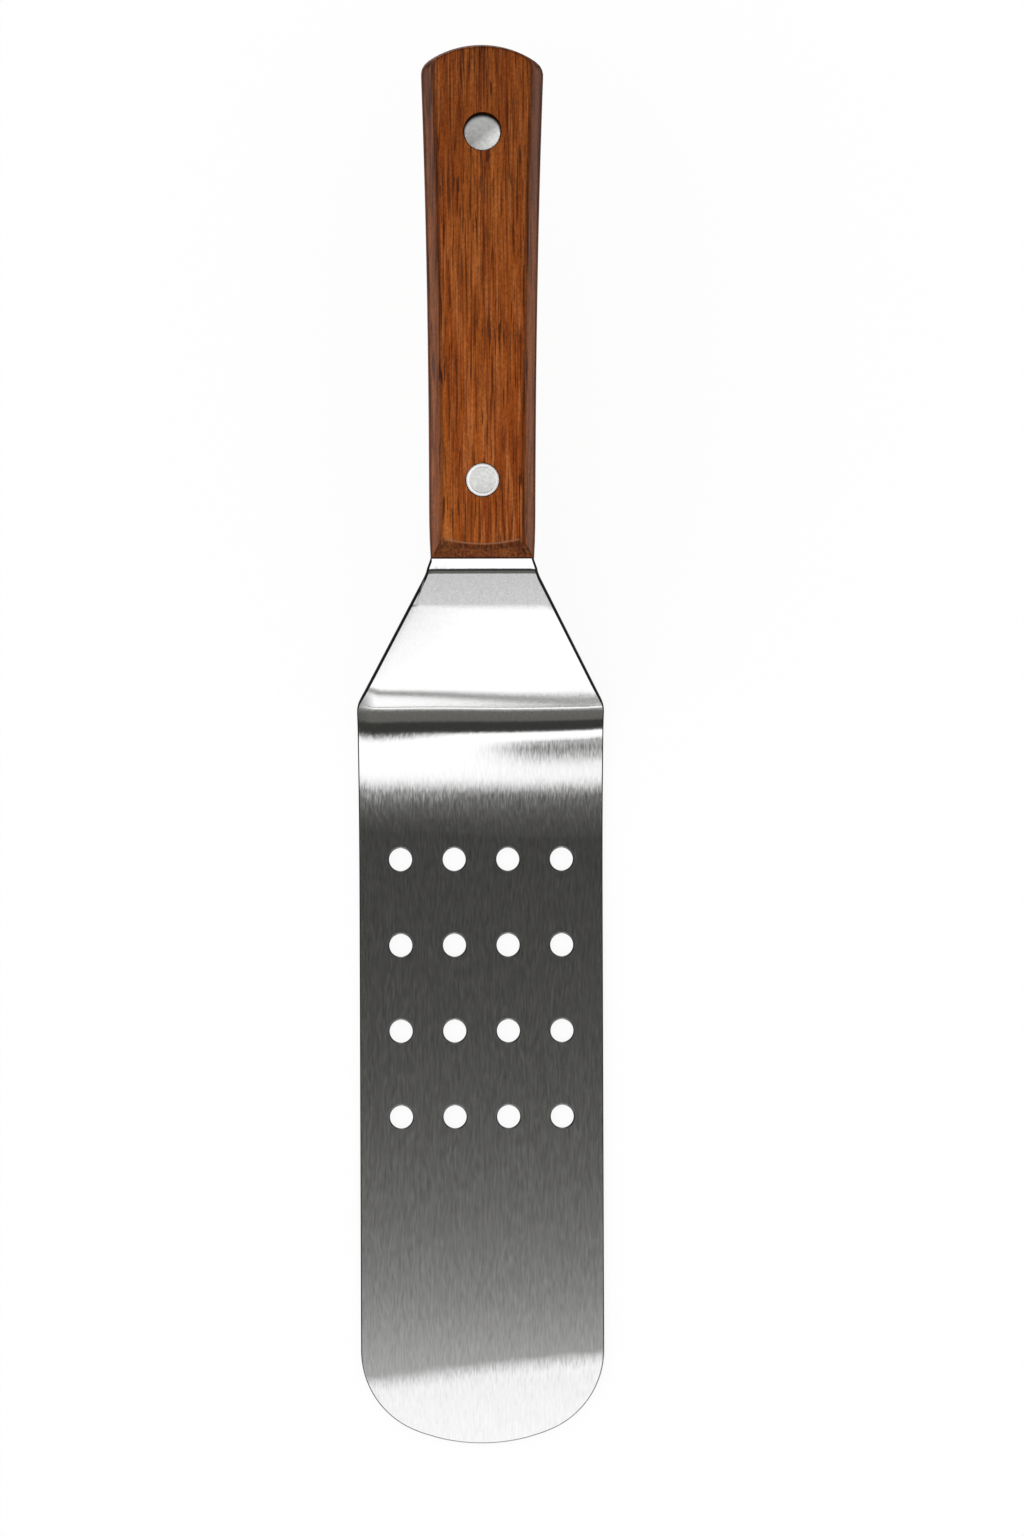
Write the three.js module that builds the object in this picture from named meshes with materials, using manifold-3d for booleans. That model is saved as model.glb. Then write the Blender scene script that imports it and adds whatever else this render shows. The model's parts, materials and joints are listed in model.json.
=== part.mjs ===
// A perforated offset turner: one folded steel sheet, its tang held between two wooden scales by two rivets.
// Millimetres. +X runs across the blade, +Y from the blade's tip to the handle's butt, and +Z is up.
// The blade lies on the surface at z = 0, and the origin is on that surface under the middle of the length.
import * as THREE from "three";
import { mergeVertices } from "three/addons/utils/BufferGeometryUtils.js";
import Module from "manifold-3d";

const degrees = Math.PI / 180;

// Steel sheet, measured along the flat blank from the tip.
const sheetThickness = 1.5;
const bladeWidth = 63.5;
const tipRadius = 46.5;
const tipCornerRadius = 22.7;
const grindLength = 18.5; // the front edge is ground thin over this length
const edgeThickness = 0.7;
const flatLength = 175.5;
const heelRadius = 45;
const heelAngle = 18 * degrees;
const bendRadius = 6;
const neckSlope = 40 * degrees;
const neckLength = 43.4;
const handleSlope = 10 * degrees;
const tangStub = 2.9; // straight steel between the upper bend and the wood
const shoulderInset = 1; // where the taper starts, past the lower bend
const shoulderRound = 3;
const throatRound = 3;

// Perforations, in rows across the blade.
const holeDiameter = 6;
const holeColumns = 4;
const holeRows = 4;
const columnPitch = 14;
const rowPitch = 22.4;
const firstRow = 85.4; // from the tip

// Wooden scales, measured along the handle from its front end.
const handleLength = 128.2;
const scaleThickness = 7.2;
const frontWidth = 26.8;
const buttWidth = 30.9; // where the flaring sides would meet the very end
const flarePower = 2.4; // how late the handle flares towards the butt
const crownRadius = 24.5;
const buttRound = 2.5;
const sideBevel = 2.8;
const frontBevel = 3.3;
const buttBevel = 0.8;
const bevelDepth = 2.6;

// Two-part rivets: a sleeve from the front and a pin from the rear.
const rivets = [
  { name: "lower", fromFront: 20.4, headDiameter: 8.4, sink: 0.1 },
  { name: "upper", fromFront: 107.3, headDiameter: 9, sink: 1.2 },
];
const headThickness = 1.6;
const headRim = 0.4; // chamfer round the head's face
const sleeveDiameter = 5.5;
const pinDiameter = 3.4;
const pinEndGap = 0.8; // room past the pin's end inside the sleeve

// Clearances between pieces.
const glueLine = 0.3; // between the tang and a scale
const rivetClearance = 0.3; // round a head and a sleeve, and under a head
const pressClearance = 0.1; // between a pin and its sleeve

// How finely round shapes are divided.
const holeSides = 20;
const rivetSides = 32;
const tipSteps = 12;
const buttSteps = 12;
const gripSteps = 10;
const ringSteps = 24;
const bendSteps = 6;
const roundSteps = 6;
const tinyGap = 0.01; // lines across the blank that lie closer than this are one line
const toolOverrun = 1; // how far a hole's cutter stands out of the wood

// Derived sizes shared by several pieces.
const bladeHalf = bladeWidth / 2;
const frontHalf = frontWidth / 2;
const faceHeight = sheetThickness / 2 + glueLine + scaleThickness; // from the tang's middle to a scale's face
const crownCentre = handleLength - crownRadius;

// Rounds the corner where two lines a and b cross, over about the given reach.
function softMin(a, b, reach) {
  const overlap = Math.max(reach - Math.abs(a - b), 0);
  return Math.min(a, b) - (overlap * overlap) / (4 * reach);
}
const softMax = (a, b, reach) => -softMin(-a, -b, reach);

// Values from start to end that crowd together at the end, for an outline that closes in a round.
function crowdedSteps(start, end, steps) {
  const turn = (index) => Math.sin((index / steps) * (Math.PI / 2));
  return Array.from({ length: steps + 1 }, (_, index) => start + (end - start) * turn(index));
}
const evenSteps = (start, end, steps) =>
  Array.from({ length: steps + 1 }, (_, index) => start + ((end - start) * index) / steps);

// Handle outline: half its width at a distance from the front end, or set in from the sides and the butt.
function gripHalf(along, sideInset = 0, buttInset = 0) {
  const flare = (buttWidth / 2 - frontHalf) * Math.pow(Math.max(along, 0) / handleLength, flarePower);
  const side = frontHalf + flare - sideInset;
  const past = Math.max(along - crownCentre, 0);
  const crown = Math.sqrt(Math.max((crownRadius - buttInset) ** 2 - past ** 2, 0));
  const half = softMin(side, crown, buttRound);
  return half < tinyGap ? 0 : half;
}

// Side view of the folded sheet's underside: straight runs and arcs, from the tip to the tang's end.
const sheetRuns = [
  { length: flatLength, turn: 0 },
  { length: heelRadius * heelAngle, turn: heelAngle },
  { length: bendRadius * (neckSlope - heelAngle), turn: neckSlope - heelAngle },
  { length: neckLength, turn: 0 },
  { length: bendRadius * (neckSlope - handleSlope), turn: handleSlope - neckSlope },
  { length: tangStub + handleLength, turn: 0 },
];
const runStarts = sheetRuns.map((_, index) =>
  sheetRuns.slice(0, index).reduce((sum, run) => sum + run.length, 0),
);
const [, heelStart, bendStart, neckStart, upperBendStart, stubStart] = runStarts;
const handleStart = stubStart + tangStub;
const tangEnd = handleStart + handleLength;

function sideView(along) {
  const point = { y: 0, z: 0, slope: 0 };
  sheetRuns.forEach((run, index) => {
    const last = index === sheetRuns.length - 1;
    const travel = Math.min(Math.max(along - runStarts[index], 0), last ? Infinity : run.length);
    const turn = (run.turn * travel) / run.length;
    // A chord of the arc, or the straight run itself, leaves at the mean of its two slopes.
    const chord = turn === 0 ? travel : (2 * travel * Math.sin(turn / 2)) / turn;
    point.y += chord * Math.cos(point.slope + turn / 2);
    point.z += chord * Math.sin(point.slope + turn / 2);
    point.slope += turn;
  });
  return point;
}

// Round tip: a wide arc in the middle that runs into a tighter arc at each corner.
const tipCornerX = bladeHalf - tipCornerRadius;
const tipDepth = tipRadius - Math.sqrt((tipRadius - tipCornerRadius) ** 2 - tipCornerX ** 2);
const arcJoin = tipRadius - (tipRadius * (tipRadius - tipDepth)) / (tipRadius - tipCornerRadius);

function tipHalf(along) {
  if (along < arcJoin) return Math.sqrt(Math.max(tipRadius ** 2 - (tipRadius - along) ** 2, 0));
  return tipCornerX + Math.sqrt(tipCornerRadius ** 2 - (tipDepth - along) ** 2);
}

// Half the blank's width at a distance from the tip.
const shoulder = neckStart + shoulderInset;
const throat = stubStart;

function blankHalf(along) {
  if (along < tipDepth) return tipHalf(along);
  if (along < heelStart) return bladeHalf;
  const taper = bladeHalf + ((frontHalf - bladeHalf) * (along - shoulder)) / (throat - shoulder);
  const neck = softMax(taper, gripHalf(along - handleStart), throatRound);
  return softMin(bladeHalf, neck, shoulderRound);
}

// The sheet is full thickness behind the ground edge.
function thicknessAt(along) {
  const ground = Math.min(along / grindLength, 1);
  return edgeThickness + (sheetThickness - edgeThickness) * ground;
}

// A point of the folded sheet, on its underside at side 0 or its upper face at side 1.
function sheetPoint(across, along, side) {
  const { y, z, slope } = sideView(along);
  const rise = thicknessAt(along) * side;
  return [across, y - rise * Math.sin(slope), z + rise * Math.cos(slope)];
}

// Holes through the blank: the perforations and the two rivet holes in the tang.
function blankHoles() {
  const holes = [];
  for (let row = 0; row < holeRows; row++) {
    for (let column = 0; column < holeColumns; column++) {
      const across = (column - (holeColumns - 1) / 2) * columnPitch;
      holes.push({ across, along: firstRow + row * rowPitch, radius: holeDiameter / 2 });
    }
  }
  for (const rivet of rivets) {
    const radius = sleeveDiameter / 2 + rivetClearance;
    holes.push({ across: 0, along: handleStart + rivet.fromFront, radius });
  }
  return holes;
}

function holeOutline({ across, along, radius }) {
  const middle = new THREE.Vector2(across, along);
  const spoke = (side) => new THREE.Vector2(radius, 0).rotateAround(new THREE.Vector2(), side);
  return evenSteps(0, 2 * Math.PI, holeSides)
    .slice(1)
    .map((side) => spoke(side).add(middle));
}

// Lines across the blank between which it is cut into simple faces. Perforated stretches stay whole.
function blankStations() {
  const tip = crowdedSteps(tipDepth, 0, tipSteps);
  const neck = [
    ...evenSteps(heelStart, bendStart, bendSteps),
    ...evenSteps(bendStart, neckStart, bendSteps),
    ...evenSteps(neckStart, shoulder + 2 * shoulderRound, roundSteps),
    ...evenSteps(upperBendStart - throatRound, upperBendStart, roundSteps),
    ...evenSteps(upperBendStart, stubStart, bendSteps),
    ...evenSteps(stubStart, handleStart, roundSteps),
  ];
  const besideRivet = (rivet, side) => handleStart + rivet.fromFront + side * sleeveDiameter;
  const [lower, upper] = rivets;
  const tang = [
    besideRivet(lower, -1),
    ...evenSteps(besideRivet(lower, 1), besideRivet(upper, -1), gripSteps),
    ...crowdedSteps(besideRivet(upper, 1), tangEnd, buttSteps),
  ];
  const all = [...tip, grindLength, ...neck, ...tang].sort((a, b) => a - b);
  return all.filter((along, index) => index === 0 || along - all[index - 1] > tinyGap);
}

// Triangles of the flat blank, as triples of (across, along) points.
function blankTriangles() {
  const stations = blankStations();
  const holes = blankHoles();
  const triangles = [];
  for (let index = 0; index < stations.length - 1; index++) {
    const [low, high] = [stations[index], stations[index + 1]];
    const [lowHalf, highHalf] = [blankHalf(low), blankHalf(high)];
    const outline = [
      ...(lowHalf > 0 ? [[-lowHalf, low], [lowHalf, low]] : [[0, low]]),
      ...(highHalf > 0 ? [[highHalf, high], [-highHalf, high]] : [[0, high]]),
    ].map(([across, along]) => new THREE.Vector2(across, along));
    const cuts = holes.filter(({ along }) => along > low && along < high).map(holeOutline);
    const points = [outline, ...cuts].flat();
    for (const face of THREE.ShapeUtils.triangulateShape(outline, cuts)) {
      const corners = face.map((corner) => points[corner]);
      triangles.push(THREE.ShapeUtils.area(corners) > 0 ? corners : corners.reverse());
    }
  }
  return triangles;
}

// The folded sheet: the blank's faces on both sides, and a wall along every edge that only one face has.
function bladeGeometry() {
  const keys = new Map();
  const flat = [];
  const indexOf = (point) => {
    const key = `${point.x.toFixed(4)},${point.y.toFixed(4)}`;
    if (!keys.has(key)) keys.set(key, flat.push(point) - 1);
    return keys.get(key);
  };
  const faces = blankTriangles().map((corners) => corners.map(indexOf));
  const edges = new Set(faces.flatMap(([a, b, c]) => [`${a},${b}`, `${b},${c}`, `${c},${a}`]));
  const under = (index) => 2 * index;
  const upper = (index) => 2 * index + 1;
  const triangles = [];
  for (const [a, b, c] of faces) {
    triangles.push(upper(a), upper(b), upper(c), under(a), under(c), under(b));
    for (const [from, to] of [[a, b], [b, c], [c, a]]) {
      if (edges.has(`${to},${from}`)) continue;
      triangles.push(under(from), under(to), upper(to), under(from), upper(to), upper(from));
    }
  }
  const places = flat.flatMap(({ x, y }) => [...sheetPoint(x, y, 0), ...sheetPoint(x, y, 1)]);
  return new THREE.BufferGeometry()
    .setAttribute("position", new THREE.Float32BufferAttribute(places, 3))
    .setIndex(triangles);
}

// Booleans on closed meshes.
const wasm = await Module();
wasm.setup();

function solidOf(geometry) {
  const bare = geometry.clone();
  bare.deleteAttribute("normal");
  bare.deleteAttribute("uv");
  const merged = mergeVertices(bare);
  return new wasm.Manifold(
    new wasm.Mesh({
      numProp: 3,
      vertProperties: merged.attributes.position.array,
      triVerts: new Uint32Array(merged.index.array),
    }),
  );
}

function cutGeometry(geometry, tools) {
  const cut = tools.reduce((solid, tool) => solid.subtract(solidOf(tool)), solidOf(geometry)).getMesh();
  return new THREE.BufferGeometry()
    .setAttribute("position", new THREE.BufferAttribute(cut.vertProperties, 3))
    .setIndex(new THREE.BufferAttribute(cut.triVerts, 1));
}

// A scale's outline at one height, set in from the sides, the front end and the butt.
function gripRing(height, sideInset, frontInset, buttInset) {
  const end = handleLength - buttInset;
  const middle = (frontInset + end) / 2;
  const steps = [
    ...evenSteps(frontInset, middle, gripSteps),
    ...crowdedSteps(middle, end, ringSteps).slice(1),
  ];
  const right = steps.map((along) => new THREE.Vector3(gripHalf(along, sideInset, buttInset), along, height));
  const left = right.slice(0, -1).map(({ x, y, z }) => new THREE.Vector3(-x, y, z));
  return [...right, ...left.reverse()];
}

// A closed skin over rings of equal count, the first below and the last on top.
function loftGeometry(rings) {
  const count = rings[0].length;
  const triangles = [];
  for (let level = 0; level < rings.length - 1; level++) {
    for (let corner = 0; corner < count; corner++) {
      const next = (corner + 1) % count;
      const [a, b] = [level * count + corner, level * count + next];
      triangles.push(a, b, b + count, a, b + count, a + count);
    }
  }
  const flatten = (ring) => ring.map(({ x, y }) => new THREE.Vector2(x, y));
  const top = (rings.length - 1) * count;
  for (const [a, b, c] of THREE.ShapeUtils.triangulateShape(flatten(rings[0]), [])) triangles.push(a, c, b);
  for (const [a, b, c] of THREE.ShapeUtils.triangulateShape(flatten(rings.at(-1)), [])) {
    triangles.push(top + a, top + b, top + c);
  }
  const places = rings.flat().flatMap(({ x, y, z }) => [x, y, z]);
  return new THREE.BufferGeometry()
    .setAttribute("position", new THREE.Float32BufferAttribute(places, 3))
    .setIndex(triangles);
}

// A round cutter or rivet half about +Z, from (radius, height) pairs that start and end on the axis.
function turnedGeometry(profile) {
  const points = profile.map(([radius, height]) => new THREE.Vector2(radius, height));
  return new THREE.LatheGeometry(points, rivetSides).rotateX(Math.PI / 2);
}

// One scale, standing on the tang's middle plane, with a stepped hole for each rivet.
function scaleGeometry() {
  const body = loftGeometry([
    gripRing(faceHeight - scaleThickness, 0, 0, 0),
    gripRing(faceHeight - bevelDepth, 0, 0, 0),
    gripRing(faceHeight, sideBevel, frontBevel, buttBevel),
  ]);
  const beyond = faceHeight + toolOverrun;
  const tools = rivets.map(({ fromFront, headDiameter, sink }) => {
    const sleeve = sleeveDiameter / 2 + rivetClearance;
    const head = headDiameter / 2 + rivetClearance;
    const seat = faceHeight - sink - headThickness - rivetClearance;
    const hole = [[0, 0], [sleeve, 0], [sleeve, seat], [head, seat], [head, beyond], [0, beyond]];
    return turnedGeometry(hole).translate(0, fromFront, 0);
  });
  return cutGeometry(body, tools);
}

// The front half of a rivet: a head with a hollow sleeve that reaches nearly to the rear head.
function sleeveGeometry({ headDiameter, sink }) {
  const top = faceHeight - sink;
  const seat = top - headThickness;
  const [head, sleeve, bore] = [headDiameter / 2, sleeveDiameter / 2, pinDiameter / 2 + pressClearance];
  return turnedGeometry([
    [0, seat],
    [bore, seat],
    [bore, rivetClearance - seat],
    [sleeve, rivetClearance - seat],
    [sleeve, seat],
    [head, seat],
    [head, top - headRim],
    [head - headRim, top],
    [0, top],
  ]);
}

// The rear half of a rivet: a head with a solid pin, made head up like the front half and turned over later.
function pinGeometry({ headDiameter, sink }) {
  const top = faceHeight - sink;
  const seat = top - headThickness;
  const [head, pin] = [headDiameter / 2, pinDiameter / 2];
  return turnedGeometry([
    [0, pinEndGap - seat],
    [pin, pinEndGap - seat],
    [pin, seat],
    [head, seat],
    [head, top - headRim],
    [head - headRim, top],
    [0, top],
  ]);
}

// Materials.
const brushedSteel = new THREE.MeshStandardMaterial({ color: 0xb9b8b5, roughness: 0.32, metalness: 1 });
const stainedWood = new THREE.MeshStandardMaterial({ color: 0x84481f, roughness: 0.45, metalness: 0 });
const groundAluminium = new THREE.MeshStandardMaterial({ color: 0xd3d3d1, roughness: 0.4, metalness: 1 });

function piece(name, geometry, material) {
  const mesh = new THREE.Mesh(geometry, material);
  mesh.name = name;
  return mesh;
}

// The handle's own frame: on the tang's middle plane at the front end of the wood, leaning with the tang.
function handleGroup() {
  const handle = new THREE.Group();
  const [, y, z] = sheetPoint(0, handleStart, 0.5);
  handle.position.set(0, y, z);
  handle.rotation.x = handleSlope;
  const front = new THREE.Group();
  const rear = new THREE.Group();
  rear.rotation.y = Math.PI;
  handle.add(front, rear);
  front.add(piece("front_scale", scaleGeometry(), stainedWood));
  rear.add(piece("rear_scale", scaleGeometry(), stainedWood));
  for (const rivet of rivets) {
    const sleeve = piece(`${rivet.name}_rivet_sleeve`, sleeveGeometry(rivet), groundAluminium);
    const pin = piece(`${rivet.name}_rivet_pin`, pinGeometry(rivet), groundAluminium);
    sleeve.position.y = rivet.fromFront;
    pin.position.y = rivet.fromFront;
    front.add(sleeve);
    rear.add(pin);
  }
  return handle;
}

const assembly = new THREE.Group();
assembly.add(piece("blade", bladeGeometry(), brushedSteel), handleGroup());
const reach = new THREE.Box3().setFromObject(assembly, true);
assembly.position.y = -(reach.min.y + reach.max.y) / 2;

const turner = new THREE.Group();
turner.add(assembly);

export default turner;
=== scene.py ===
import json
import math
import bpy
from mathutils import Matrix, Vector


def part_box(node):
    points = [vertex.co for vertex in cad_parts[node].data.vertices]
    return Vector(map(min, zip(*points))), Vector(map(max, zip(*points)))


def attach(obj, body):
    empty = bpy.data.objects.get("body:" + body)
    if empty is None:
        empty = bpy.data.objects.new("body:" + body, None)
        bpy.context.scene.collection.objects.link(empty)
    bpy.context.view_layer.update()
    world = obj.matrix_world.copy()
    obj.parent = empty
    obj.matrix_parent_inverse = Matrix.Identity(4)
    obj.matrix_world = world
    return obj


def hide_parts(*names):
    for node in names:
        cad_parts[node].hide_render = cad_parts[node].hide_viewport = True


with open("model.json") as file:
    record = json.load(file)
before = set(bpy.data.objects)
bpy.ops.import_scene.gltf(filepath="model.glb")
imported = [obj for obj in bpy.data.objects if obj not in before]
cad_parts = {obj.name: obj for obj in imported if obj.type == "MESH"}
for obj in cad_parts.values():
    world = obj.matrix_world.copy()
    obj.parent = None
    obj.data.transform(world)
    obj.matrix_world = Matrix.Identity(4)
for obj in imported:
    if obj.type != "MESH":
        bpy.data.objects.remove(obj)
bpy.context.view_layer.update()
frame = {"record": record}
mm = 0.001
mounts = {mount["name"]: mount for mount in frame["record"]["mounts"]}

# the handle's own frame: on the tang's middle plane, turned with the handle
faceMount, backMount = mounts["handle_front_face"], mounts["handle_rear_face"]
handleSlope = math.atan2(-faceMount["axis"][1], faceMount["axis"][2])
handleMiddle = (Vector(faceMount["pos_m"]) + Vector(backMount["pos_m"])) / 2
handleTurn = Matrix.Rotation(handleSlope, 4, "X")
faceHeight = (Vector(faceMount["pos_m"]) - handleMiddle).length / mm  # from the tang's middle to the face


def startFresh():
    if bpy.context.object and bpy.context.object.mode != "OBJECT":
        bpy.ops.object.mode_set(mode="OBJECT")
    bpy.ops.object.select_all(action="DESELECT")


def editMode(kind):
    bpy.ops.object.mode_set(mode="EDIT")
    bpy.ops.mesh.select_mode(type=kind)


def pickVerts(piece, test):  # selects by place, from object mode, and goes on in edit mode
    editMode("VERT")
    bpy.ops.mesh.select_all(action="DESELECT")
    bpy.ops.object.mode_set(mode="OBJECT")
    for vertex in piece.data.vertices:
        vertex.select = test(vertex.co)
    bpy.ops.object.mode_set(mode="EDIT")


def useModifier(piece, kind, **settings):
    bpy.context.view_layer.objects.active = piece
    modifier = piece.modifiers.new(kind.lower(), kind)
    for name, value in settings.items():
        setattr(modifier, name, value)
    bpy.ops.object.modifier_apply(modifier=modifier.name)


def finishPiece(piece, node, material, smoothAngle=30):
    startFresh()
    piece.select_set(True)
    bpy.context.view_layer.objects.active = piece
    bpy.ops.object.transform_apply(location=True, rotation=True, scale=True)
    if smoothAngle:
        bpy.ops.object.shade_smooth_by_angle(angle=math.radians(smoothAngle))
        useModifier(piece, "WEIGHTED_NORMAL", mode="FACE_AREA", weight=50, keep_sharp=True)
    piece.data.materials.clear()
    piece.data.materials.append(material)
    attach(piece, "root")
    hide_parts(node)
    print("piece", piece.name, len(piece.data.polygons), "faces")
    return piece


# materials
def linear(hexColour):  # sRGB hex to linear RGBA
    parts = [int(hexColour[i:i + 2], 16) / 255 for i in (1, 3, 5)]
    return [c / 12.92 if c <= 0.04045 else ((c + 0.055) / 1.055) ** 2.4 for c in parts] + [1]


def addNode(tree, kind, inputs=None, **settings):  # one node with its settings, values and links
    node = tree.nodes.new(kind)
    for name, value in settings.items():
        setattr(node, name, value)
    for name, value in (inputs or {}).items():
        if isinstance(value, bpy.types.NodeSocket):
            tree.links.new(value, node.inputs[name])
        else:
            node.inputs[name].default_value = value
    return node


def setRamp(node, stops):  # stops are (position, grey level or colour)
    ramp = node.color_ramp
    while len(ramp.elements) > 1:
        ramp.elements.remove(ramp.elements[-1])
    for index, (position, value) in enumerate(stops):
        element = ramp.elements[0] if index == 0 else ramp.elements.new(position)
        element.position = position
        element.color = value if isinstance(value, list) else [value, value, value, 1]
    return node


def between(limits, scale=mm, start=0.0):  # the two input values that a map range runs between
    return {"From Min": start + limits[0] * scale, "From Max": start + limits[1] * scale}


def newMaterial(name):
    material = bpy.data.materials.new(name)
    material.use_nodes = True
    tree = material.node_tree
    tree.nodes.clear()
    output = addNode(tree, "ShaderNodeOutputMaterial")
    shader = addNode(tree, "ShaderNodeBsdfPrincipled")
    tree.links.new(shader.outputs["BSDF"], output.inputs["Surface"])
    return material, tree, shader, output


def grainCoords(tree, acrossMm, alongMm, turn=0.0, shift=0.0):  # object coordinates in units of one grain
    place = addNode(tree, "ShaderNodeTexCoord")
    turned = addNode(tree, "ShaderNodeMapping",
                     {"Vector": place.outputs["Object"], "Rotation": (turn, 0, 0)}, vector_type="POINT")
    size = (1 / (acrossMm * mm), 1 / (alongMm * mm), 1 / (acrossMm * mm))
    return addNode(tree, "ShaderNodeMapping",
                   {"Vector": turned.outputs["Vector"], "Location": (shift, shift * 0.7, shift * 0.3),
                    "Scale": size}).outputs["Vector"]


def handleShare(tree, axis):  # how far the surface faces along one axis of the turned handle
    normal = addNode(tree, "ShaderNodeNewGeometry").outputs["Normal"]
    return addNode(tree, "ShaderNodeVectorMath", {0: normal, 1: tuple(handleTurn.to_3x3() @ Vector(axis))},
                   operation="DOT_PRODUCT").outputs["Value"]


def faceShare(tree):  # 1 on the handle's flat faces
    return addNode(tree, "ShaderNodeMath", {0: handleShare(tree, (0, 0, 1))}, operation="ABSOLUTE").outputs[0]


# brushed stainless sheet: fine scratches along the blade, so highlights stay crisp lengthwise and smear
# across; its sheared edges are dull, and painted near black as a painted dark reflection
steelLook = {
    "colour": "#cecece", "edgeShadeColour": "#262422", "roughness": 0.15, "edgeRoughness": 0.5, "anisotropy": 0.8,
    "frontEdge": (0.62, 0.3), "sideEdge": (0.04, 0.2),  # parts of the normal where an edge starts and ends
    "tipEdge": 0.3, "tipEdgeMm": (-174, -150),  # the painted edge darkening is lighter at the ground edge of the tip
    # (mm across and along, lean of the surface): real scratches are finer, these are coarse enough to show
    "scratches": [((0.32, 2.2), 0.0252), ((0.5, 5), 0.0098)],
    "toneMm": (0.38, 2.8), "tone": (0.065, 0.17), "toneFromMm": (-150, -60), "roughShare": 0.1,
    "tipTone": 0.94, "tipToneMm": (-162, -156), "noiseSpan": (0.25, 0.75),
    # shares by how far the sheet is bent up: most lean at the fold, most tone on the flat
    "leanBent": [(0.002, 0.07), (0.014, 0.7), (0.06, 0.7), (0.1, 0.4), (0.165, 0.4), (0.2, 1.0), (0.57, 1.0),
                 (0.6, 0.5)],
    "toneBent": [(0.002, 1.0), (0.014, 0.25), (0.2, 0.25), (0.4, 0.4), (0.57, 0.4), (0.6, 0.2)],
}


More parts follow.
